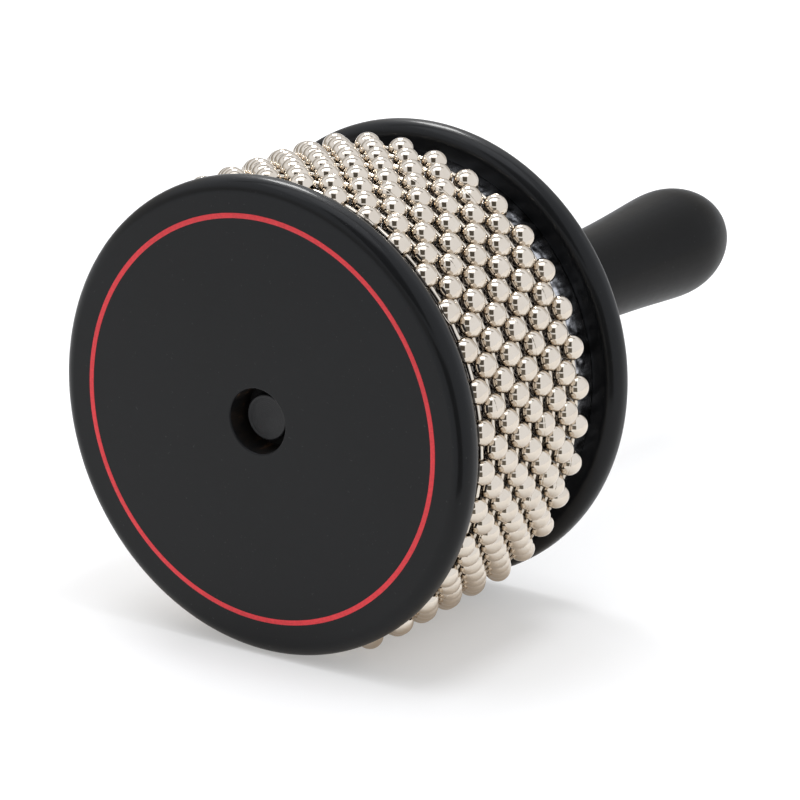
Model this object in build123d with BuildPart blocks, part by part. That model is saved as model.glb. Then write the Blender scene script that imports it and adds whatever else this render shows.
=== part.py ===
from build123d import *
import math
import os

# A cabasa lying on its side, as it is put down on a table.
# +Z is up, the drum's axis lies along Y, the open disc faces -Y and the handle
# points to +Y.  The origin is under the middle of the object, on the table.

# ---------------------------------------------------------------- dimensions (mm)
FLANGE_R = 50.8            # discs, 4 in across
FLANGE_T = 6.8
FLANGE_EDGE = 3.2          # rounding of both rims
DRUM_W = 50.8              # between the discs, 2 in
HOLE_R = 6.9               # centre hole of the front disc
HOLE_EDGE = 0.35

SLEEVE_R = 45.1            # outside of the sheet-steel sleeve
SLEEVE_T = 0.5
GLUE_GAP = 0.02            # fitted faces that are glued or pressed

SPINDLE_R = 4.95
SPINDLE_RECESS = 3.2       # spindle end below the front face
SPINDLE_CHAMFER = 0.35
SOCKET_DEPTH = 45.0        # spindle's seat in the handle
SOCKET_END = 0.6           # glue room at the bottom of that seat

LENGTH = 183.4             # front face to handle tip
NECK_R = 9.9               # handle at the drum
GRIP_R = 12.85             # handle at its thickest
DOME_L = 18.9              # rounded end

DOWEL_R = 3.0
DOWEL_PCD_R = 30.0
DOWEL_IN_FLANGE = 4.4
DOWEL_IN_CORE = 9.6
DOWEL_COUNT = 3

BEAD_R = 2.85
BEAD_WALL = 0.40
BEAD_HOLE_R = 0.95
BEADS = 36                 # in each loop
LOOPS = 9
LOOP_R = 48.2              # circle of bead centres
LOOP_STEP = 4.485          # loop to loop along the drum
FIRST_LOOP = 9.77          # first loop's plane behind the front face
PHASE = -15.4              # angle of a bead of the last loop, from +X towards +Z
LINK_R = 0.55
LINK_HEAD_R = 1.25
LINK_HEAD_T = 0.55
LINK_HEAD_IN = 1.05        # inner face of a link's head from its bead's centre

# ---------------------------------------------------------------- derived places
pitch = 360.0 / BEADS
low_bead = min(abs((PHASE + 90.0 + pitch * k / 2.0 + pitch / 2.0) % pitch - pitch / 2.0) for k in range(2))
AXIS_Z = LOOP_R * math.cos(math.radians(low_bead)) + BEAD_R   # lowest bead touches z = 0
Y_FRONT = -LENGTH / 2.0
Y_DRUM = Y_FRONT + FLANGE_T                # drum's front end
Y_REAR = Y_DRUM + DRUM_W                   # drum's rear end
Y_HANDLE = Y_REAR + FLANGE_T               # handle's shoulder
Y_TIP = Y_FRONT + LENGTH

axis = Axis((0, 0, AXIS_Z), (0, 1, 0))
# Half-section plane: local x is the radius from the drum's axis, local y runs along it.
section = Plane(origin=(0, 0, AXIS_Z), x_dir=(1, 0, 0), z_dir=(0, 0, 1))


def facing_front(y):
    """Plane across the drum's axis at y: local x is +X, local y is +Z, normal to -Y."""
    return Plane(origin=(0, y, AXIS_Z), x_dir=(1, 0, 0), z_dir=(0, -1, 0))


os.makedirs("parts", exist_ok=True)

# ---------------------------------------------------------------- discs
with BuildPart(facing_front(Y_DRUM)) as front_flange:
    with BuildSketch(facing_front(Y_DRUM)):
        Circle(FLANGE_R)
        Circle(HOLE_R, mode=Mode.SUBTRACT)
    extrude(amount=FLANGE_T)
    rims = front_flange.edges().filter_by(GeomType.CIRCLE).sort_by(SortBy.RADIUS)
    fillet(rims[-2:], FLANGE_EDGE)
    mouth = (
        front_flange.edges()
        .filter_by(GeomType.CIRCLE)
        .filter_by(lambda e: abs(e.radius - HOLE_R) < 1e-6)
        .sort_by(Axis.Y)[0]
    )
    fillet(mouth, HOLE_EDGE)
    # blind seats for the dowels, from the drum side
    with BuildSketch(facing_front(Y_DRUM)):
        with PolarLocations(DOWEL_PCD_R, DOWEL_COUNT, start_angle=90):
            Circle(DOWEL_R + GLUE_GAP)
    extrude(amount=DOWEL_IN_FLANGE + 0.2, mode=Mode.SUBTRACT)

with BuildPart(facing_front(Y_HANDLE)) as rear_flange:
    with BuildSketch(facing_front(Y_HANDLE)):
        Circle(FLANGE_R)
        Circle(SPINDLE_R + GLUE_GAP, mode=Mode.SUBTRACT)
    extrude(amount=FLANGE_T)
    rims = rear_flange.edges().filter_by(GeomType.CIRCLE).sort_by(SortBy.RADIUS)
    fillet(rims[-2:], FLANGE_EDGE)
    with BuildSketch(facing_front(Y_REAR)):
        with PolarLocations(DOWEL_PCD_R, DOWEL_COUNT, start_angle=90):
            Circle(DOWEL_R + GLUE_GAP)
    extrude(amount=-(DOWEL_IN_FLANGE + 0.2), mode=Mode.SUBTRACT)

# ---------------------------------------------------------------- drum
with BuildPart(facing_front(Y_REAR)) as drum_core:
    with BuildSketch(facing_front(Y_REAR)):
        Circle(SLEEVE_R - SLEEVE_T - GLUE_GAP)
        Circle(SPINDLE_R + GLUE_GAP, mode=Mode.SUBTRACT)
    extrude(amount=DRUM_W)
    with BuildSketch(facing_front(Y_DRUM)):
        with PolarLocations(DOWEL_PCD_R, DOWEL_COUNT, start_angle=90):
            Circle(DOWEL_R + GLUE_GAP)
    extrude(amount=-(DOWEL_IN_CORE + 0.4), mode=Mode.SUBTRACT)
    with BuildSketch(facing_front(Y_REAR)):
        with PolarLocations(DOWEL_PCD_R, DOWEL_COUNT, start_angle=90):
            Circle(DOWEL_R + GLUE_GAP)
    extrude(amount=DOWEL_IN_CORE + 0.4, mode=Mode.SUBTRACT)

with BuildPart(facing_front(Y_REAR)) as sleeve:
    with BuildSketch(facing_front(Y_REAR)):
        Circle(SLEEVE_R)
        Circle(SLEEVE_R - SLEEVE_T, mode=Mode.SUBTRACT)
    extrude(amount=DRUM_W)

with BuildPart(facing_front(Y_DRUM)) as front_dowels:
    with BuildSketch(facing_front(Y_DRUM + DOWEL_IN_CORE)):
        with PolarLocations(DOWEL_PCD_R, DOWEL_COUNT, start_angle=90):
            Circle(DOWEL_R)
    extrude(amount=DOWEL_IN_CORE + DOWEL_IN_FLANGE)
    chamfer(front_dowels.edges().filter_by(GeomType.CIRCLE), 0.5)

with BuildPart(facing_front(Y_REAR)) as rear_dowels:
    with BuildSketch(facing_front(Y_REAR + DOWEL_IN_FLANGE)):
        with PolarLocations(DOWEL_PCD_R, DOWEL_COUNT, start_angle=90):
            Circle(DOWEL_R)
    extrude(amount=DOWEL_IN_CORE + DOWEL_IN_FLANGE)
    chamfer(rear_dowels.edges().filter_by(GeomType.CIRCLE), 0.5)

# ---------------------------------------------------------------- spindle and handle
with BuildPart(facing_front(Y_FRONT)) as spindle:
    with BuildSketch(facing_front(Y_HANDLE + SOCKET_DEPTH - SOCKET_END)):
        Circle(SPINDLE_R)
    extrude(amount=SOCKET_DEPTH - SOCKET_END + Y_HANDLE - Y_FRONT - SPINDLE_RECESS)
    ends = spindle.edges().filter_by(GeomType.CIRCLE)
    chamfer(ends, SPINDLE_CHAMFER)

with BuildPart() as handle:
    y_dome = Y_TIP - DOME_L
    with BuildSketch(section):
        with BuildLine():
            Line((0, Y_HANDLE + SOCKET_DEPTH), (SPINDLE_R + GLUE_GAP, Y_HANDLE + SOCKET_DEPTH))
            Line((SPINDLE_R + GLUE_GAP, Y_HANDLE + SOCKET_DEPTH), (SPINDLE_R + GLUE_GAP, Y_HANDLE))
            Line((SPINDLE_R + GLUE_GAP, Y_HANDLE), (NECK_R, Y_HANDLE))
            Spline(
                (NECK_R, Y_HANDLE),
                (9.85, Y_HANDLE + 27.0),
                (10.45, Y_HANDLE + 57.0),
                (11.45, Y_HANDLE + 79.2),
                (12.50, Y_HANDLE + 93.3),
                (GRIP_R, y_dome),
                tangents=((0, 1), (0, 1)),
            )
            Spline(
                *[
                    (GRIP_R * math.cos(math.radians(a)), y_dome + DOME_L * math.sin(math.radians(a)))
                    for a in (0, 15, 30, 45, 60, 75, 90)
                ],
                tangents=((0, 1), (-1, 0)),
            )
            Line((0, Y_TIP), (0, Y_HANDLE + SOCKET_DEPTH))
        make_face()
    revolve(axis=axis)

# ---------------------------------------------------------------- ball chain
# One bead, hollow, drilled along the chain (local Y), and one dumbbell link pin.
bead_in = BEAD_R - BEAD_WALL
hole_out = math.sqrt(BEAD_R**2 - BEAD_HOLE_R**2)
hole_in = math.sqrt(bead_in**2 - BEAD_HOLE_R**2)
with BuildPart() as bead:
    with BuildSketch(Plane.XY):
        with BuildLine():
            ThreePointArc((BEAD_HOLE_R, -hole_out), (BEAD_R, 0), (BEAD_HOLE_R, hole_out))
            Line((BEAD_HOLE_R, hole_out), (BEAD_HOLE_R, hole_in))
            ThreePointArc((BEAD_HOLE_R, hole_in), (bead_in, 0), (BEAD_HOLE_R, -hole_in))
            Line((BEAD_HOLE_R, -hole_in), (BEAD_HOLE_R, -hole_out))
        make_face()
    revolve(axis=Axis.Y)

half_link = LOOP_R * math.sin(math.radians(pitch / 2.0)) - LINK_HEAD_IN
with BuildPart() as link:
    with BuildSketch(Plane.XY):
        with BuildLine():
            Polyline(
                (0, -half_link),
                (LINK_HEAD_R - 0.25, -half_link),
                (LINK_HEAD_R, -half_link + 0.25),
                (LINK_HEAD_R, -half_link + LINK_HEAD_T),
                (LINK_R, -half_link + LINK_HEAD_T),
                (LINK_R, half_link - LINK_HEAD_T),
                (LINK_HEAD_R, half_link - LINK_HEAD_T),
                (LINK_HEAD_R, half_link - 0.25),
                (LINK_HEAD_R - 0.25, half_link),
                (0, half_link),
                close=True,
            )
        make_face()
    revolve(axis=Axis.Y)

loops = []
for i in range(LOOPS):
    # loop 1 is next to the front disc; neighbours are half a bead apart round the drum
    y = Y_FRONT + FIRST_LOOP + LOOP_STEP * i
    start = PHASE + (LOOPS - 1 - i) * pitch / 2.0
    with BuildPart(facing_front(y)) as bead_loop:
        with PolarLocations(LOOP_R, BEADS, start_angle=start):
            add(bead.part)
    with BuildPart(facing_front(y)) as link_set:
        with PolarLocations(LOOP_R * math.cos(math.radians(pitch / 2.0)), BEADS, start_angle=start + pitch / 2.0):
            add(link.part)
    loops.append((bead_loop, link_set))

# ---------------------------------------------------------------- write
front_flange.part.label = "front_flange"
export_step(front_flange.part, "parts/front_flange.step")
rear_flange.part.label = "rear_flange"
export_step(rear_flange.part, "parts/rear_flange.step")
drum_core.part.label = "drum_core"
export_step(drum_core.part, "parts/drum_core.step")
sleeve.part.label = "sleeve"
export_step(sleeve.part, "parts/sleeve.step")
front_dowels.part.label = "front_dowels"
export_step(front_dowels.part, "parts/front_dowels.step")
rear_dowels.part.label = "rear_dowels"
export_step(rear_dowels.part, "parts/rear_dowels.step")
spindle.part.label = "spindle"
export_step(spindle.part, "parts/spindle.step")
handle.part.label = "handle"
export_step(handle.part, "parts/handle.step")
for i, (bead_loop, link_set) in enumerate(loops, start=1):
    bead_loop.part.label = f"bead_loop_{i}"
    export_step(bead_loop.part, f"parts/bead_loop_{i}.step")
    link_set.part.label = f"link_set_{i}"
    export_step(link_set.part, f"parts/link_set_{i}.step")

print("axis height", round(AXIS_Z, 4), "front", Y_FRONT, "drum", Y_DRUM, Y_REAR, "handle", Y_HANDLE, "tip", Y_TIP)
print("loops at", [round(Y_FRONT + FIRST_LOOP + LOOP_STEP * i, 3) for i in range(LOOPS)])
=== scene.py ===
import math

import bpy
import numpy as np
from mathutils import Matrix, Vector


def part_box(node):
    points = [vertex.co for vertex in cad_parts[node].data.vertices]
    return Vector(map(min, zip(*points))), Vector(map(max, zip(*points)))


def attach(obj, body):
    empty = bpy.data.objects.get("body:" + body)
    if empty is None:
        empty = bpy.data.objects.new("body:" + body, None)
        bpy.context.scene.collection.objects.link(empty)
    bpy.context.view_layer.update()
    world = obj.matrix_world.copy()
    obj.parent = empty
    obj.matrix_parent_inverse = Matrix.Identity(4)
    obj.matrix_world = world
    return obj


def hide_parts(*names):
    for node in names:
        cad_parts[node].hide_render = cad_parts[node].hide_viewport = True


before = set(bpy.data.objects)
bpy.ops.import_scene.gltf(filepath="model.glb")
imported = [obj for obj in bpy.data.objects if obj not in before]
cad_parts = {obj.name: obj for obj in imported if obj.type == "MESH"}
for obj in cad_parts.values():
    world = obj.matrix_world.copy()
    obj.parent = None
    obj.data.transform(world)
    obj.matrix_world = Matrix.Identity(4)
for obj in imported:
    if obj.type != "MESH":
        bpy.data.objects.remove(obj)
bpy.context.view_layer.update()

# A cabasa lying on its side: two black discs with a short drum between them, nine loops
# of plated ball chain on a textured steel sleeve, and a turned black handle.
# Lengths are in millimetres up to mesh_object(), which writes metres.

MM = 0.001

# ---------------------------------------------------------------- sizes, as in the frame
FLANGE_R, FLANGE_T, FLANGE_EDGE = 50.8, 6.8, 3.2
DRUM_W = 50.8
HOLE_R, HOLE_EDGE = 6.9, 0.35
SLEEVE_R, SLEEVE_T = 45.1, 0.5
SPINDLE_R, SPINDLE_RECESS, SPINDLE_CHAMFER = 4.95, 3.2, 0.35
SPINDLE_BORE = SPINDLE_R + 0.02
SOCKET_DEPTH, SOCKET_END = 45.0, 0.6
LENGTH = 183.4
NECK_R, GRIP_R, DOME_L = 9.9, 12.85, 18.9
BEAD_R, BEAD_WALL, BEAD_HOLE_R = 2.85, 0.40, 0.95
BEADS, LOOPS = 36, 9
LOOP_R, LOOP_STEP, FIRST_LOOP, PHASE = 48.2, 4.485, 9.77, -15.4
LINK_R, LINK_HEAD_R, LINK_HEAD_T, LINK_HEAD_IN = 0.55, 1.25, 0.55, 1.05
RING_R, RING_W, RING_T = 42.98, 1.07, 0.03

flange_lo, flange_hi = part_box("front_flange")
AXIS_Z = (flange_lo.z + flange_hi.z) / 2 / MM
Y_FRONT = flange_lo.y / MM
Y_DRUM = Y_FRONT + FLANGE_T
Y_REAR = Y_DRUM + DRUM_W
Y_HANDLE = Y_REAR + FLANGE_T
Y_TIP = Y_FRONT + LENGTH
PITCH = 360.0 / BEADS

rng = np.random.default_rng(20)


# ---------------------------------------------------------------- mesh helpers
def mesh_object(name, verts, faces, mats, face_mats=None):
    """A smooth-shaded closed mesh from vertices in mm; turned outwards if it is inside out."""
    v = np.asarray(verts, float) * MM
    tri = []
    for f in faces:
        for k in range(1, len(f) - 1):
            tri.append((f[0], f[k], f[k + 1]))
    t = v[np.asarray(tri)]
    t = t - v.mean(0)
    volume = np.einsum("ij,ij->i", t[:, 0], np.cross(t[:, 1], t[:, 2])).sum() / 6
    if volume < 0:
        faces = [tuple(reversed(f)) for f in faces]
    mesh = bpy.data.meshes.new(name)
    mesh.from_pydata(v.tolist(), [], [tuple(int(i) for i in f) for f in faces])
    for m in mats:
        mesh.materials.append(m)
    mesh.polygons.foreach_set("use_smooth", [True] * len(mesh.polygons))
    if face_mats is not None:
        mesh.polygons.foreach_set("material_index", [int(i) for i in face_mats])
    mesh.update()
    obj = bpy.data.objects.new(name, mesh)
    bpy.context.scene.collection.objects.link(obj)
    return obj


def turned(profile, angles, closed):
    """Vertices and faces of (radius, height) points turned about the height axis.
    Vertices come as (across, height, across2); a radius of 0 is a single point."""
    angles = np.asarray(angles, float)
    ca, sa = np.cos(angles), np.sin(angles)
    n = len(angles)
    verts, rings = [], []
    for r, h in profile:
        first = len(verts)
        if r < 1e-9:
            rings.append([first] * n)
            verts.append((0.0, h, 0.0))
        else:
            rings.append(list(range(first, first + n)))
            verts.extend((r * c, h, r * s) for c, s in zip(ca, sa))
    faces, spans = [], []
    count = len(profile)
    for i in range(count if closed else count - 1):
        a, b = rings[i], rings[(i + 1) % count]
        for j in range(n):
            k = (j + 1) % n
            loop = [a[j], a[k], b[k], b[j]]
            face = [q for p, q in enumerate(loop) if q != loop[p - 1]]
            if len(face) > 2:
                faces.append(tuple(face))
                spans.append(i)
    return np.array(verts, float), faces, spans


def round_angles(n):
    return np.arange(n) * (2 * math.pi / n)


def on_axis(verts):
    """Turned vertices (x, y, z about the axis) moved to the drum's axis."""
    out = np.array(verts, float)
    out[:, 2] += AXIS_Z
    return out


def arc(cx, cy, r, a0, a1, n):
    """Points of an arc, degrees, both ends included."""
    return [
        (cx + r * math.cos(math.radians(a)), cy + r * math.sin(math.radians(a)))
        for a in np.linspace(a0, a1, n + 1)
    ]


# ---------------------------------------------------------------- material helpers
def new_material(name):
    m = bpy.data.materials.new(name)
    m.use_nodes = True
    t = m.node_tree
    t.nodes.clear()
    out = t.nodes.new("ShaderNodeOutputMaterial")
    bsdf = t.nodes.new("ShaderNodeBsdfPrincipled")
    t.links.new(bsdf.outputs["BSDF"], out.inputs["Surface"])
    return m, t, bsdf


def put(tree, kind, values=None, **settings):
    node = tree.nodes.new(kind)
    for key, value in settings.items():
        setattr(node, key, value)
    for key, value in (values or {}).items():
        node.inputs[key].default_value = value
    return node


def coords(tree, scale=(1, 1, 1), rotation=(0, 0, 0)):
    tc = put(tree, "ShaderNodeTexCoord")
    mp = put(tree, "ShaderNodeMapping", {"Scale": scale, "Rotation": rotation})
    tree.links.new(tc.outputs["Object"], mp.inputs["Vector"])
    return mp.outputs["Vector"]


def noise(tree, vector, scale, detail=3.0, rough=0.55, distortion=0.0):
    n = put(
        tree,
        "ShaderNodeTexNoise",
        {"Scale": scale, "Detail": detail, "Roughness": rough, "Distortion": distortion},
    )
    tree.links.new(vector, n.inputs["Vector"])
    return n.outputs["Fac"]


def remap(tree, value, lo0, hi0, lo1, hi1):
    n = put(
        tree,
        "ShaderNodeMapRange",
        {"From Min": lo0, "From Max": hi0, "To Min": lo1, "To Max": hi1},
    )
    tree.links.new(value, n.inputs["Value"])
    return n.outputs["Result"]


def math_node(tree, op, a, b=None):
    n = put(tree, "ShaderNodeMath", operation=op)
    for i, x in enumerate((a, b)):
        if x is None:
            continue
        if isinstance(x, (int, float)):
            n.inputs[i].default_value = x
        else:
            tree.links.new(x, n.inputs[i])
    return n.outputs["Value"]


def ramp(tree, value, stops):
    n = put(tree, "ShaderNodeValToRGB")
    e = n.color_ramp.elements
    while len(e) < len(stops):
        e.new(0.5)
    for el, (pos, col) in zip(e, stops):
        el.position = pos
        el.color = (*col, 1.0)
    tree.links.new(value, n.inputs["Fac"])
    return n.outputs["Color"]


def mix_colour(tree, fac, a, b):
    n = put(tree, "ShaderNodeMix", data_type="RGBA")
    for key, x in (("Factor", fac), ("A", a), ("B", b)):
        socket = next(s for s in n.inputs if s.name == key and (s.type == "RGBA" or key == "Factor") and s.enabled)
        if hasattr(x, "is_output"):
            tree.links.new(x, socket)
        elif key == "Factor":
            socket.default_value = x
        else:
            socket.default_value = (*x, 1.0)
    return next(s for s in n.outputs if s.type == "RGBA" and s.enabled)


def bump(tree, bsdf, height, distance, strength=1.0):
    n = put(tree, "ShaderNodeBump", {"Strength": strength, "Distance": distance})
    tree.links.new(height, n.inputs["Height"])
    tree.links.new(n.outputs["Normal"], bsdf.inputs["Normal"])
    return n


# ---------------------------------------------------------------- materials
def black_lacquer(name, grain, base, rough, level, coat, coat_rough):
    """Satin black lacquer on wood. grain stretches the faint grain that shows through it."""
    m, t, b = new_material(name)
    p = coords(t)
    cloud = noise(t, p, 28.0, 3.0)
    fine = noise(t, p, 420.0, 2.0)
    streak = noise(t, coords(t, scale=grain), 1.0, 4.0, 0.6)
    dust = noise(t, p, 1500.0, 1.0)
    speck = remap(t, dust, 0.74, 0.80, 0.0, 1.0)
    tone = ramp(
        t,
        cloud,
        [(0.30, tuple(0.80 * c for c in base)), (0.70, tuple(1.20 * c for c in base))],
    )
    col = mix_colour(t, math_node(t, "MULTIPLY", speck, 0.35), tone, (0.05, 0.05, 0.05))
    t.links.new(col, b.inputs["Base Color"])
    r = math_node(t, "ADD", remap(t, cloud, 0.3, 0.7, rough - 0.035, rough + 0.035), remap(t, fine, 0.3, 0.7, -0.02, 0.02))
    t.links.new(r, b.inputs["Roughness"])
    b.inputs["IOR"].default_value = 1.5
    b.inputs["Specular IOR Level"].default_value = level
    b.inputs["Coat Weight"].default_value = coat
    b.inputs["Coat Roughness"].default_value = coat_rough
    h = math_node(t, "ADD", math_node(t, "MULTIPLY", streak, 0.7), math_node(t, "MULTIPLY", fine, 0.3))
    bump(t, b, h, 0.00006, 0.6)
    return m


disc_black = black_lacquer("disc_black_lacquer", (60, 60, 900), (0.0042, 0.0045, 0.0051), 0.40, 0.12, 0.23, 0.11)
handle_black = black_lacquer("handle_black_lacquer", (900, 40, 900), (0.0034, 0.0031, 0.0028), 0.40, 0.058, 0.10, 0.14)


def bored_wood():
    """Wall of the bored hole: brown wood through thin black overspray."""
    m, t, b = new_material("bored_hole_wall")
    p = coords(t, scale=(500, 160, 500))
    n = noise(t, p, 1.0, 4.0, 0.65)
    n2 = noise(t, coords(t), 260.0, 3.0)
    f = remap(t, math_node(t, "MULTIPLY", n, n2), 0.18, 0.42, 0.0, 1.0)
    t.links.new(ramp(t, f, [(0.0, (0.003, 0.003, 0.003)), (0.6, (0.012, 0.007, 0.004)), (1.0, (0.10, 0.052, 0.026))]), b.inputs["Base Color"])
    t.links.new(remap(t, n, 0.3, 0.7, 0.55, 0.8), b.inputs["Roughness"])
    b.inputs["Specular IOR Level"].default_value = 0.3
    bump(t, b, n, 0.0002, 0.7)
    return m


def red_print():
    """Screen-printed red ink, with a fine mesh texture."""
    m, t, b = new_material("red_screen_print")
    p = coords(t)
    n = noise(t, p, 1600.0, 2.0)
    c = noise(t, p, 60.0, 2.0)
    f = math_node(t, "ADD", math_node(t, "MULTIPLY", n, 0.6), math_node(t, "MULTIPLY", c, 0.4))
    t.links.new(ramp(t, f, [(0.35, (0.62, 0.032, 0.040)), (0.65, (0.80, 0.044, 0.054))]), b.inputs["Base Color"])
    t.links.new(remap(t, n, 0.3, 0.7, 0.42, 0.55), b.inputs["Roughness"])
    b.inputs["Specular IOR Level"].default_value = 0.35
    bump(t, b, n, 0.00002, 0.5)
    return m


def spindle_black():
    """Matte black lacquer over turned end grain."""
    m, t, b = new_material("spindle_black_lacquer")
    p = coords(t)
    n = noise(t, p, 900.0, 4.0, 0.7)
    c = noise(t, p, 160.0, 3.0)
    t.links.new(ramp(t, c, [(0.3, (0.0040, 0.0042, 0.0048)), (0.7, (0.0080, 0.0082, 0.0090))]), b.inputs["Base Color"])
    t.links.new(remap(t, c, 0.3, 0.7, 0.38, 0.52), b.inputs["Roughness"])
    b.inputs["Specular IOR Level"].default_value = 0.42
    bump(t, b, n, 0.00012, 0.8)
    return m


def textured_steel():
    """Stainless sheet with a rolled-in rough texture; the relief itself is in the mesh. Its colour is mottled from
    near black to light: painted reflection and glints.
    """
    m, t, b = new_material("textured_steel")
    p = coords(t, scale=(1000, 260, 1000))
    n = noise(t, p, 1.0, 4.0, 0.65)
    c = noise(t, coords(t, scale=(420, 190, 420)), 1.0, 3.0)
    # the dark and light mottle of the base colour is painted reflection and glint, not the steel's own tone
    t.links.new(ramp(t, c, [(0.38, (0.08, 0.080, 0.083)), (0.60, (0.58, 0.585, 0.61))]), b.inputs["Base Color"])
    b.inputs["Metallic"].default_value = 1.0
    t.links.new(remap(t, n, 0.3, 0.7, 0.14, 0.27), b.inputs["Roughness"])
    bump(t, b, n, 0.00008, 0.6)
    return m


def nickel(name, low, high, r0, r1):
    """Bright nickel plate, faintly warm, with fine drawing marks and a slight haze."""
    m, t, b = new_material(name)
    p = coords(t)
    cloud = noise(t, p, 210.0, 3.0)
    fine = noise(t, p, 2600.0, 3.0, 0.6)
    t.links.new(ramp(t, cloud, [(0.30, low), (0.70, high)]), b.inputs["Base Color"])
    b.inputs["Metallic"].default_value = 1.0
    t.links.new(remap(t, cloud, 0.3, 0.7, r0, r1), b.inputs["Roughness"])
    bump(t, b, fine, 0.000008, 0.5)
    return m


def bare_wood():
    """Turned hardwood: growth rings round the grain, fine pores and end grain."""
    m, t, b = new_material("bare_turned_wood")
    p = coords(t, scale=(1, 0.12, 1))
    w = put(t, "ShaderNodeTexWave", {"Scale": 75.0, "Distortion": 5.0, "Detail": 3.0, "Detail Scale": 1.4}, wave_type="RINGS", rings_direction="Y")
    t.links.new(p, w.inputs["Vector"])
    pores = noise(t, coords(t, scale=(1400, 90, 1400)), 1.0, 3.0)
    f = math_node(t, "ADD", math_node(t, "MULTIPLY", w.outputs["Fac"], 0.7), math_node(t, "MULTIPLY", pores, 0.3))
    wood = ramp(t, f, [(0.2, (0.33, 0.19, 0.095)), (0.8, (0.52, 0.34, 0.19))])
    # near black within 7 to 8 mm of the axis, where the front disc's hole leaves the core open
    centred = put(t, "ShaderNodeMapping", {"Location": (0.0, -Y_DRUM * MM, -AXIS_Z * MM), "Scale": (1, 0, 1)})
    t.links.new(put(t, "ShaderNodeTexCoord").outputs["Object"], centred.inputs["Vector"])
    reach = put(t, "ShaderNodeVectorMath", operation="LENGTH")
    flat_axis = put(t, "ShaderNodeVectorMath", operation="MULTIPLY")
    flat_axis.inputs[1].default_value = (1, 0, 1)
    t.links.new(centred.outputs["Vector"], flat_axis.inputs[0])
    t.links.new(flat_axis.outputs["Vector"], reach.inputs[0])
    core_dark_in_hole = remap(t, reach.outputs["Value"], 0.0070, 0.0080, 1.0, 0.0)
    t.links.new(mix_colour(t, core_dark_in_hole, wood, (0.004, 0.003, 0.0025)), b.inputs["Base Color"])
    t.links.new(remap(t, pores, 0.3, 0.7, 0.55, 0.72), b.inputs["Roughness"])
    b.inputs["Specular IOR Level"].default_value = 0.3
    bump(t, b, pores, 0.00015, 0.6)
    return m


hole_wood = bored_wood()
ring_red = red_print()
spindle_mat = spindle_black()
steel_mat = textured_steel()
bead_mat = nickel("nickel_plate_beads", (0.650, 0.578, 0.492), (0.705, 0.635, 0.548), 0.03, 0.07)
link_mat = nickel("nickel_plate_links", (0.64, 0.58, 0.50), (0.72, 0.66, 0.575), 0.10, 0.18)
wood_mat = bare_wood()

for node in ("drum_core", "front_dowels", "rear_dowels"):
    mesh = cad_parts[node].data
    mesh.materials.clear()
    mesh.materials.append(wood_mat)


# ---------------------------------------------------------------- discs
def rim(y_open, y_other, r_in_open, r_in_other, bore):
    """Half-section of a disc: bore, face, rounded rim and the other face."""
    e = FLANGE_EDGE
    step = 1 if y_other > y_open else -1
    pts = list(bore)
    pts += [(r_in_open + 0.06, y_open)]
    pts += [(FLANGE_R - e - 0.06, y_open)]
    pts += [(FLANGE_R - e + e * math.sin(math.radians(a)), y_open + step * (e - e * math.cos(math.radians(a)))) for a in np.linspace(0, 90, 17)]
    pts += [(FLANGE_R - e + e * math.cos(math.radians(a)), y_other - step * (e - e * math.sin(math.radians(a)))) for a in np.linspace(0, 90, 17)]
    pts += [(FLANGE_R - e - 0.06, y_other), (r_in_other + 0.06, y_other)]
    return pts


edge = HOLE_EDGE
bore = [(HOLE_R, Y_DRUM), (HOLE_R, Y_DRUM - 0.05)]
bore += [(HOLE_R, y) for y in np.linspace(Y_DRUM - 1.0, Y_FRONT + edge + 0.05, 6)]
bore += [(HOLE_R + edge - edge * math.cos(math.radians(a)), Y_FRONT + edge - edge * math.sin(math.radians(a))) for a in np.linspace(0, 90, 7)]
profile = rim(Y_FRONT, Y_DRUM, HOLE_R + edge, HOLE_R, bore)
verts, faces, spans = turned(profile, round_angles(288), True)
wall_spans = set(range(len(bore) - 7)) | {len(profile) - 1}
front_disc = mesh_object("front_disc", on_axis(verts), faces, [disc_black, hole_wood], [1 if s in wall_spans else 0 for s in spans])
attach(front_disc, "drum")
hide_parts("front_flange")

bore = [(SPINDLE_BORE, Y_REAR), (SPINDLE_BORE, Y_REAR + 0.05), (SPINDLE_BORE, Y_HANDLE - 0.05), (SPINDLE_BORE, Y_HANDLE)]
profile = rim(Y_HANDLE, Y_REAR, SPINDLE_BORE, SPINDLE_BORE, bore)
verts, faces, spans = turned(profile, round_angles(288), True)
rear_disc = mesh_object("rear_disc", on_axis(verts), faces, [disc_black])
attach(rear_disc, "drum")
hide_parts("rear_flange")

# printed ring on the front disc: a thin film with rounded edges
w, h = RING_W / 2, RING_T
profile = [
    (RING_R - w, Y_FRONT), (RING_R - w + 0.01, Y_FRONT - 0.7 * h), (RING_R - w + 0.05, Y_FRONT - h),
    (RING_R + w - 0.05, Y_FRONT - h), (RING_R + w - 0.01, Y_FRONT - 0.7 * h), (RING_R + w, Y_FRONT),
]
verts, faces, spans = turned(profile, round_angles(288), True)
face_ring = mesh_object("face_ring", on_axis(verts), faces, [ring_red])
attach(face_ring, "drum")


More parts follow.
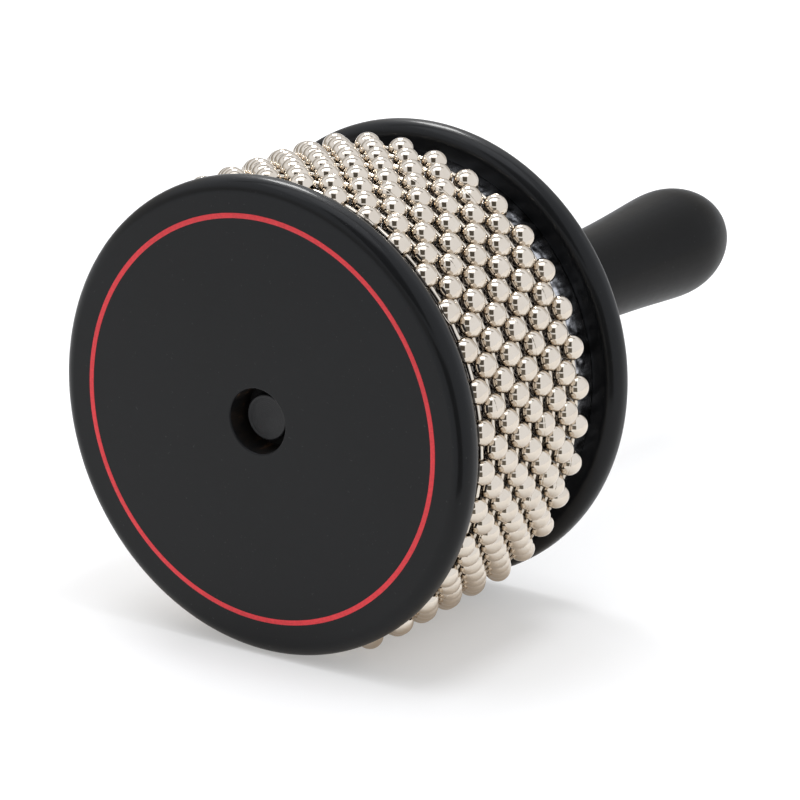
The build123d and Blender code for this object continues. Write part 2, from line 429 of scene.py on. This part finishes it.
# ---------------------------------------------------------------- handle and spindle
def cubic_through(xs, ys, d0, d1, at):
    """Cubic spline through points with the end slopes given."""
    xs, ys = np.asarray(xs, float), np.asarray(ys, float)
    n = len(xs)
    hh = np.diff(xs)
    a = np.zeros((n, n))
    rhs = np.zeros(n)
    a[0, 0] = a[-1, -1] = 1.0
    rhs[0], rhs[-1] = d0, d1
    for i in range(1, n - 1):
        a[i, i - 1], a[i, i], a[i, i + 1] = 1 / hh[i - 1], 2 / hh[i - 1] + 2 / hh[i], 1 / hh[i]
        rhs[i] = 3 * ((ys[i] - ys[i - 1]) / hh[i - 1] ** 2 + (ys[i + 1] - ys[i]) / hh[i] ** 2)
    d = np.linalg.solve(a, rhs)
    out = []
    for x in at:
        i = int(np.clip(np.searchsorted(xs, x) - 1, 0, n - 2))
        s = (x - xs[i]) / hh[i]
        out.append(
            (1 + 2 * s) * (1 - s) ** 2 * ys[i] + s * (1 - s) ** 2 * hh[i] * d[i]
            + s * s * (3 - 2 * s) * ys[i + 1] + s * s * (s - 1) * hh[i] * d[i + 1]
        )
    return out


y_dome = Y_TIP - DOME_L
grip_y = [Y_HANDLE, Y_HANDLE + 27, Y_HANDLE + 57, Y_HANDLE + 79.2, Y_HANDLE + 93.3, y_dome]
grip_r = [NECK_R, 9.85, 10.45, 11.45, 12.50, GRIP_R]
ys = np.linspace(Y_HANDLE + 0.4, y_dome, 60)
body = list(zip(cubic_through(grip_y, grip_r, 0.0, 0.0, ys), ys))
dome = [(GRIP_R * math.cos(math.radians(a)), y_dome + DOME_L * math.sin(math.radians(a))) for a in np.linspace(0, 90, 31)[1:-1]]
profile = (
    [(0.0, Y_HANDLE + SOCKET_DEPTH), (SPINDLE_BORE - 0.05, Y_HANDLE + SOCKET_DEPTH), (SPINDLE_BORE, Y_HANDLE + SOCKET_DEPTH - 0.05)]
    + [(SPINDLE_BORE, Y_HANDLE + 0.05), (SPINDLE_BORE + 0.05, Y_HANDLE), (NECK_R - 0.30, Y_HANDLE)]
    + [(NECK_R - 0.25 + 0.25 * math.sin(math.radians(a)), Y_HANDLE + 0.25 - 0.25 * math.cos(math.radians(a))) for a in (0, 30, 60, 90)]
    + body + dome + [(0.0, Y_TIP)]
)
verts, faces, spans = turned(profile, round_angles(160), False)
grip = mesh_object("turned_handle", on_axis(verts), faces, [handle_black])
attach(grip, "drum")
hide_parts("handle")

# spindle: lightly broken edge, faint turning lines and the small nub left at the lathe's centre
y_end = Y_FRONT + SPINDLE_RECESS
y_back = Y_HANDLE + SOCKET_DEPTH - SOCKET_END
flat = SPINDLE_R - SPINDLE_CHAMFER
sunk = y_end + 0.06
profile = [(0.0, y_end), (0.18, y_end + 0.01), (0.34, y_end + 0.05), (0.46, sunk)]
for r in np.arange(0.75, flat - 0.45, 0.40):
    profile += [(r, sunk), (r + 0.10, sunk + 0.03), (r + 0.20, sunk)]
profile += [(flat - 0.30, sunk), (flat - 0.16, sunk - 0.03), (flat - 0.06, y_end + 0.005), (flat + 0.04, y_end + 0.02)]
profile += [(SPINDLE_R - 0.14, y_end + 0.12), (SPINDLE_R - 0.05, y_end + 0.23), (SPINDLE_R, y_end + SPINDLE_CHAMFER + 0.08)]
profile += [(SPINDLE_R, y_back - SPINDLE_CHAMFER), (flat, y_back), (0.0, y_back)]
verts, faces, spans = turned(profile, round_angles(96), False)
rod = mesh_object("spindle_rod", on_axis(verts), faces, [spindle_mat])
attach(rod, "drum")
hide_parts("spindle")


# ---------------------------------------------------------------- sleeve
def smooth_lattice(cols, rows, u, v):
    """Random lattice, periodic in u, blended smoothly; u in 0..1 round, v in 0..1 along."""
    g = rng.random((rows + 2, cols))
    x, y = u * cols, v * rows
    i, j = np.floor(x).astype(int), np.floor(y).astype(int)
    fx, fy = x - i, y - j
    fx, fy = fx * fx * (3 - 2 * fx), fy * fy * (3 - 2 * fy)
    i0, i1 = i % cols, (i + 1) % cols
    j0, j1 = np.clip(j, 0, rows + 1), np.clip(j + 1, 0, rows + 1)
    top = g[j0, i0] * (1 - fx) + g[j0, i1] * fx
    low = g[j1, i0] * (1 - fx) + g[j1, i1] * fx
    return top * (1 - fy) + low * fy


SEGS, ROWS = 800, 118
u, v = np.meshgrid(np.arange(SEGS) / SEGS, np.linspace(0, 1, ROWS + 1))
ridge = np.abs(2 * smooth_lattice(210, 20, u, v) - 1)
ridge2 = np.abs(2 * smooth_lattice(340, 46, u, v) - 1)
relief = 0.13 * (1 - ridge) + 0.07 * (1 - ridge2)
fade = np.clip(np.minimum(v, 1 - v) / 0.02, 0, 1)
radius = SLEEVE_R - 0.25 + relief * fade
ang = u * 2 * math.pi
outer = np.stack([radius * np.cos(ang), Y_DRUM + v * DRUM_W, radius * np.sin(ang)], -1).reshape(-1, 3)
a = round_angles(SEGS)
inner_r = SLEEVE_R - SLEEVE_T
inner = np.concatenate([np.stack([inner_r * np.cos(a), np.full(SEGS, y), inner_r * np.sin(a)], -1) for y in (Y_REAR, Y_DRUM)])
verts = np.concatenate([outer, inner])
faces = []
rows_total = ROWS + 3
for i in range(rows_total):
    p, q = i * SEGS, ((i + 1) % rows_total) * SEGS
    for j in range(SEGS):
        k = (j + 1) % SEGS
        faces.append((p + j, p + k, q + k, q + j))
shell = mesh_object("steel_sleeve", on_axis(verts), faces, [steel_mat])
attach(shell, "drum")
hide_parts("sleeve")

# ---------------------------------------------------------------- ball chain
# One bead turned about the chain's line: a drawn shell with rolled-in hole lips and a
# pressed seam from hole to hole. Extra columns either side keep the seam narrow.
lip = 0.16
th0 = math.degrees(math.asin((BEAD_HOLE_R + lip) / BEAD_R))
bead_profile = [(BEAD_R * math.sin(math.radians(th)), BEAD_R * math.cos(math.radians(th))) for th in np.linspace(th0, 180 - th0, 23)]
h_out = BEAD_R * math.cos(math.radians(th0))
lip_in = [(BEAD_HOLE_R + 0.05, -h_out - 0.035), (BEAD_HOLE_R, -h_out + 0.10), (BEAD_HOLE_R + 0.02, -h_out + 0.42)]
inside = [((BEAD_R - BEAD_WALL) * math.sin(math.radians(th)), -(BEAD_R - BEAD_WALL) * math.cos(math.radians(th))) for th in (40, 90, 140)]
bead_profile = bead_profile + lip_in + inside + [(r, -h) for r, h in reversed(lip_in)]
outer_rows = 23
seam_half = math.radians(1.5)
columns = [0.0, seam_half, 2.6 * seam_half] + list(np.linspace(math.radians(11), math.radians(349), 31)) + [-2.6 * seam_half, -seam_half]
columns = np.array(columns)
bead_verts, bead_faces, _ = turned(bead_profile, columns, True)
seam_verts = np.arange(1, outer_rows - 1) * len(columns)
radial = bead_verts[seam_verts][:, [0, 2]]
length = np.linalg.norm(bead_verts[seam_verts], axis=1, keepdims=True)
bead_verts[seam_verts] *= 1 - 0.085 / length

half_link = LOOP_R * math.sin(math.radians(PITCH / 2)) - LINK_HEAD_IN
half = [
    (0.0, half_link), (LINK_HEAD_R - 0.45, half_link - 0.02), (LINK_HEAD_R - 0.12, half_link - 0.14),
    (LINK_HEAD_R, half_link - 0.30), (LINK_HEAD_R - 0.06, half_link - LINK_HEAD_T + 0.06), (LINK_HEAD_R - 0.30, half_link - LINK_HEAD_T),
    (LINK_R + 0.12, half_link - LINK_HEAD_T - 0.02), (LINK_R + 0.03, half_link - LINK_HEAD_T - 0.10), (LINK_R, half_link - LINK_HEAD_T - 0.22),
]
link_profile = half + [(LINK_R - 0.02, 0.0)] + [(r, -h) for r, h in reversed(half)]
link_verts, link_faces, _ = turned(link_profile, round_angles(16), False)


def placed(local, centre, along, roll=0.0, yaw=0.0):
    """Local (out, along, side) vertices put at a centre, with the chain's direction given."""
    ca, sa = math.cos(roll), math.sin(roll)
    p_out = local[:, 0] * ca - local[:, 2] * sa
    p_side = local[:, 0] * sa + local[:, 2] * ca
    p_along = local[:, 1]
    if yaw:
        cy, sy = math.cos(yaw), math.sin(yaw)
        p_along, p_side = p_along * cy - p_side * sy, p_along * sy + p_side * cy
    t = along / np.linalg.norm(along)
    out = np.cross((0.0, 1.0, 0.0), -t)
    out /= np.linalg.norm(out)
    aside = np.cross(t, out)
    return centre + np.outer(p_out, out) + np.outer(p_along, t) + np.outer(p_side, aside)


def settled(angle):
    """Angle of a chain link as the loose loop lies at rest: it has slipped a little round the drum."""
    a = math.radians(angle)
    return a + math.radians(0.22 - 0.30 * math.sin(a) - 0.13 * math.cos(a))


def ease(t):
    t = min(max(t, 0.0), 1.0)
    return t * t * (3 - 2 * t)


def hung(angle, loop):
    """How a slack loop hangs: outwards to both sides of where it meets the table, and for the
    last loops, which have room behind them, a little towards the handle. Radius and shift in mm."""
    below = abs((math.degrees(angle) + 270) % 360 - 180)
    swell = ease((62 - below) / 38) if below > 24 else ease(below / 24)
    radius = LOOP_R + (1.71 - 0.26 * loop / (LOOPS - 1)) * swell
    if below < 80:
        radius = min(radius, (AXIS_Z - BEAD_R) / -math.sin(angle))
    return radius, 1.6 * (loop / (LOOPS - 1)) ** 3 * ease((70 - below) / 35)


for i in range(LOOPS):
    y = Y_FRONT + FIRST_LOOP + LOOP_STEP * i
    start = PHASE + (LOOPS - 1 - i) * PITCH / 2
    bv, bf, lv, lf = [], [], [], []
    centres = []
    for j in range(BEADS):
        at = settled(start + PITCH * j + rng.uniform(-0.10, 0.10))
        radius, shift = hung(at, i)
        radius += rng.uniform(-0.12, 0.0)
        centres.append((radius * math.cos(at), y + shift + rng.uniform(-0.09, 0.09), AXIS_Z + radius * math.sin(at)))
    centres = np.array(centres)
    for j in range(BEADS):
        here, after = centres[j], centres[(j + 1) % BEADS]
        v = placed(bead_verts, here, after - centres[j - 1], roll=rng.uniform(0, 2 * math.pi), yaw=rng.uniform(-0.05, 0.05))
        base = len(bv) * len(bead_verts)
        bv.append(v)
        bf.extend(tuple(base + q for q in f) for f in bead_faces)
        v = placed(link_verts, (here + after) / 2, after - here, yaw=rng.uniform(-0.02, 0.02))
        base = len(lv) * len(link_verts)
        lv.append(v)
        lf.extend(tuple(base + q for q in f) for f in link_faces)
    chain = mesh_object(f"bead_chain_{i + 1}", np.concatenate(bv), bf, [bead_mat])
    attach(chain, "bead_jacket")
    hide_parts(f"bead_loop_{i + 1}")
    pins = mesh_object(f"chain_links_{i + 1}", np.concatenate(lv), lf, [link_mat])
    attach(pins, "bead_jacket")
    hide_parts(f"link_set_{i + 1}")

# ---------------------------------------------------------------- floor, light and camera
AZ, EL = math.radians(34.12), math.radians(17.76)
side = Vector((math.cos(AZ), math.sin(AZ), 0))
front = Vector((math.sin(AZ), -math.cos(AZ), 0))

# A white table top that ends in front of the object; the picture shows it lifted towards white.
floor_mat = bpy.data.materials.new("pale_floor")
floor_mat.use_nodes = True
ft = floor_mat.node_tree
ft.nodes.clear()
f_out = put(ft, "ShaderNodeOutputMaterial")
f_bsdf = put(ft, "ShaderNodeBsdfDiffuse")
f_path = put(ft, "ShaderNodeLightPath")
# mirrored in the chains, the table is a little brighter too; under the drum it is darker and warm: painted shade
f_xyz = put(ft, "ShaderNodeSeparateXYZ")
f_at = put(ft, "ShaderNodeTexCoord").outputs["Object"]
ft.links.new(f_at, f_xyz.inputs["Vector"])
f_across = remap(ft, math_node(ft, "ABSOLUTE", f_xyz.outputs["X"]), 0.030, 0.062, 1.0, 0.0)
f_near = remap(ft, f_xyz.outputs["Y"], (Y_FRONT - 4) * MM, (Y_FRONT + 10) * MM, 0.0, 1.0)
f_far = remap(ft, f_xyz.outputs["Y"], Y_REAR * MM, (Y_REAR + 20) * MM, 1.0, 0.0)
f_shade_under_drum = math_node(ft, "MULTIPLY", f_across, math_node(ft, "MULTIPLY", f_near, f_far))
f_mirrored = mix_colour(ft, f_shade_under_drum, (0.60, 0.59, 0.575), (0.52, 0.41, 0.30))
f_col = mix_colour(ft, f_path.outputs["Is Glossy Ray"], (0.86, 0.86, 0.86), f_mirrored)
f_col = mix_colour(ft, f_path.outputs["Is Camera Ray"], f_col, (0.612, 0.602, 0.590))
ft.links.new(f_col, f_bsdf.inputs["Color"])
# the table glows: painted light, an emission for camera rays that grows away from the object, and in reflections one
# that is weaker under the drum
f_lift = put(ft, "ShaderNodeEmission", {"Color": (1.0, 0.99, 0.97, 1.0)})
f_reach = put(ft, "ShaderNodeVectorMath", operation="LENGTH")
ft.links.new(f_at, f_reach.inputs[0])
f_far_off = remap(ft, f_reach.outputs["Value"], 0.24, 0.65, 0.34, 0.85)
f_seen = math_node(ft, "MULTIPLY", f_path.outputs["Is Camera Ray"], f_far_off)
f_glint = math_node(ft, "MULTIPLY", f_path.outputs["Is Glossy Ray"], remap(ft, f_shade_under_drum, 0.0, 1.0, 0.31, 0.20))
ft.links.new(math_node(ft, "ADD", f_seen, f_glint), f_lift.inputs["Strength"])
floor_mat.cycles.emission_sampling = "NONE"
f_both = put(ft, "ShaderNodeAddShader")
ft.links.new(f_bsdf.outputs["BSDF"], f_both.inputs[0])
ft.links.new(f_lift.outputs["Emission"], f_both.inputs[1])
ft.links.new(f_both.outputs["Shader"], f_out.inputs["Surface"])
floor_mesh = bpy.data.meshes.new("floor")
corners = [side * x + front * y for x, y in ((-1.3, -1.5), (1.3, -1.5), (1.3, 0.19), (-1.3, 0.19))]
floor_mesh.from_pydata([tuple(c) for c in corners], [], [(0, 3, 2, 1)])
floor_mesh.materials.append(floor_mat)
floor = bpy.data.objects.new("floor", floor_mesh)
bpy.context.scene.collection.objects.link(floor)

right = Vector((math.cos(AZ), math.sin(AZ), 0))
up = Vector((-math.sin(AZ) * math.sin(EL), math.cos(AZ) * math.sin(EL), math.cos(EL)))
back = Vector((math.sin(AZ) * math.cos(EL), -math.cos(AZ) * math.cos(EL), math.sin(EL)))
camera_data = bpy.data.cameras.new("camera")
camera_data.sensor_width = 36.0
camera_data.lens = 172.97
camera_data.clip_start = 0.01
camera_data.clip_end = 50
camera = bpy.data.objects.new("camera", camera_data)
bpy.context.scene.collection.objects.link(camera)
camera.matrix_world = Matrix(
    (
        (right.x, up.x, back.x, 0.44210),
        (right.y, up.y, back.y, Y_FRONT * MM - 0.60058),
        (right.z, up.z, back.z, AXIS_Z * MM + 0.24329),
        (0, 0, 0, 1),
    )
)
bpy.context.scene.camera = camera


LIGHT = (0.97, 1.0, 1.055)  # slightly cool


def softbox(name, direction, distance, size_x, size_y, radiance, aim=None, turn=0.0, colour=LIGHT, shine=True, spill=True):
    """Rectangular area lamp, given by the radiance of its face. It faces the drum, or along aim."""
    lamp = bpy.data.lights.new(name, "AREA")
    lamp.shape = "RECTANGLE"
    lamp.size, lamp.size_y = size_x, size_y
    lamp.energy = radiance * math.pi * size_x * size_y
    lamp.color = colour
    o = bpy.data.objects.new(name, lamp)
    bpy.context.scene.collection.objects.link(o)
    d = Vector(direction).normalized()
    o.location = Vector((0, -0.05, 0.05)) + d * distance
    facing = Vector(aim).normalized() if aim else -d
    turn_about = Matrix.Rotation(turn, 4, facing)
    o.rotation_euler = (turn_about @ (-facing).to_track_quat("Z", "Y").to_matrix().to_4x4()).to_euler()
    o.visible_glossy, o.visible_diffuse = shine, spill
    return o


# A wide dim softbox overhead, a smaller stronger one behind it on the left that gives the
# highlights, and a long and a small one across the top that lay the shadows on the floor.
softbox("softbox_overhead", (-0.172, -0.240, 1.150), 1.187, 1.23, 0.63, 1.05, aim=(0, 0, -1), turn=-AZ)
softbox("softbox_back_left", (-0.42, 0.50, 0.76), 1.40, 0.38, 0.38, 20.0, colour=(1.0, 0.995, 0.985), spill=False)
softbox("softbox_long", (-0.56, 0.24, 1.0), 1.25, 0.34, 1.20, 5.2, shine=False)
softbox("softbox_top", (0.22, 0.0, 1.0), 1.25, 0.30, 0.30, 14.0, shine=False)

# White room round the object: darker and warmer low on the left and behind, with a dark gap where
# the camera stands and a dark seam across the ceiling.
world = bpy.data.worlds.new("studio")
bpy.context.scene.world = world
world.use_nodes = True
wt = world.node_tree
wt.nodes.clear()
w_out = put(wt, "ShaderNodeOutputWorld")
w_bg = put(wt, "ShaderNodeBackground")
wt.links.new(w_bg.outputs["Background"], w_out.inputs["Surface"])
w_dir = put(wt, "ShaderNodeTexCoord").outputs["Generated"]


def along(vector):
    n = put(wt, "ShaderNodeVectorMath", operation="DOT_PRODUCT")
    n.inputs[1].default_value = vector
    wt.links.new(w_dir, n.inputs[0])
    return n.outputs["Value"]


def step_up(value, lo, hi):
    n = put(wt, "ShaderNodeMapRange", {"From Min": lo, "From Max": hi, "To Min": 0.0, "To Max": 1.0}, interpolation_type="SMOOTHSTEP")
    wt.links.new(value, n.inputs["Value"])
    return n.outputs["Result"]


def times(a, b):
    return math_node(wt, "MULTIPLY", a, b)


def inverse(a):
    return math_node(wt, "SUBTRACT", 1.0, a)


def window(value, lo, hi, soft):
    return times(step_up(value, lo - soft, lo + soft), inverse(step_up(value, hi - soft, hi + soft)))


w_side, w_front, w_up = along(side), along(front), along((0, 0, 1))
low_left = times(inverse(step_up(w_side, -0.75, 0.0)), inverse(step_up(w_up, 0.22, 0.50)))
level = math_node(wt, "SUBTRACT", 1.07, times(low_left, 0.55))
behind = times(inverse(step_up(w_front, -0.75, -0.35)), window(w_up, 0.10, 0.55, 0.08))
level = times(level, inverse(times(behind, 0.40)))
below = inverse(step_up(w_up, -0.02, 0.02))
level = math_node(wt, "ADD", times(level, inverse(below)), times(below, 1.07))
facing = step_up(w_front, 0.0, 0.08)
gap = times(times(window(w_side, -0.46, 0.15, 0.015), window(w_up, 0.40, 0.90, 0.015)), facing)
low_gap = times(times(window(w_side, -0.36, 0.20, 0.03), window(w_up, -0.60, 0.22, 0.03)), facing)
# ceiling coordinates: to the side and to the front per unit of height
safe_up = math_node(wt, "MAXIMUM", w_up, 0.05)
c_side, c_front = math_node(wt, "DIVIDE", w_side, safe_up), math_node(wt, "DIVIDE", w_front, safe_up)
seam = times(times(window(c_front, -0.36, -0.22, 0.02), window(c_side, -1.0, 0.6, 0.05)), step_up(w_up, 0.2, 0.3))
for mask, depth in ((gap, 0.91), (low_gap, 0.86), (seam, 0.88)):
    level = times(level, inverse(times(mask, depth)))
# seen straight on, the room is plain white
seen = put(wt, "ShaderNodeLightPath").outputs["Is Camera Ray"]
level = math_node(wt, "ADD", times(level, inverse(seen)), times(seen, 1.2))
wt.links.new(mix_colour(wt, math_node(wt, "MINIMUM", level, 1.0), (1.08, 0.98, 0.82), LIGHT), w_bg.inputs["Color"])
wt.links.new(level, w_bg.inputs["Strength"])

bpy.context.scene.view_settings.view_transform = "Standard"
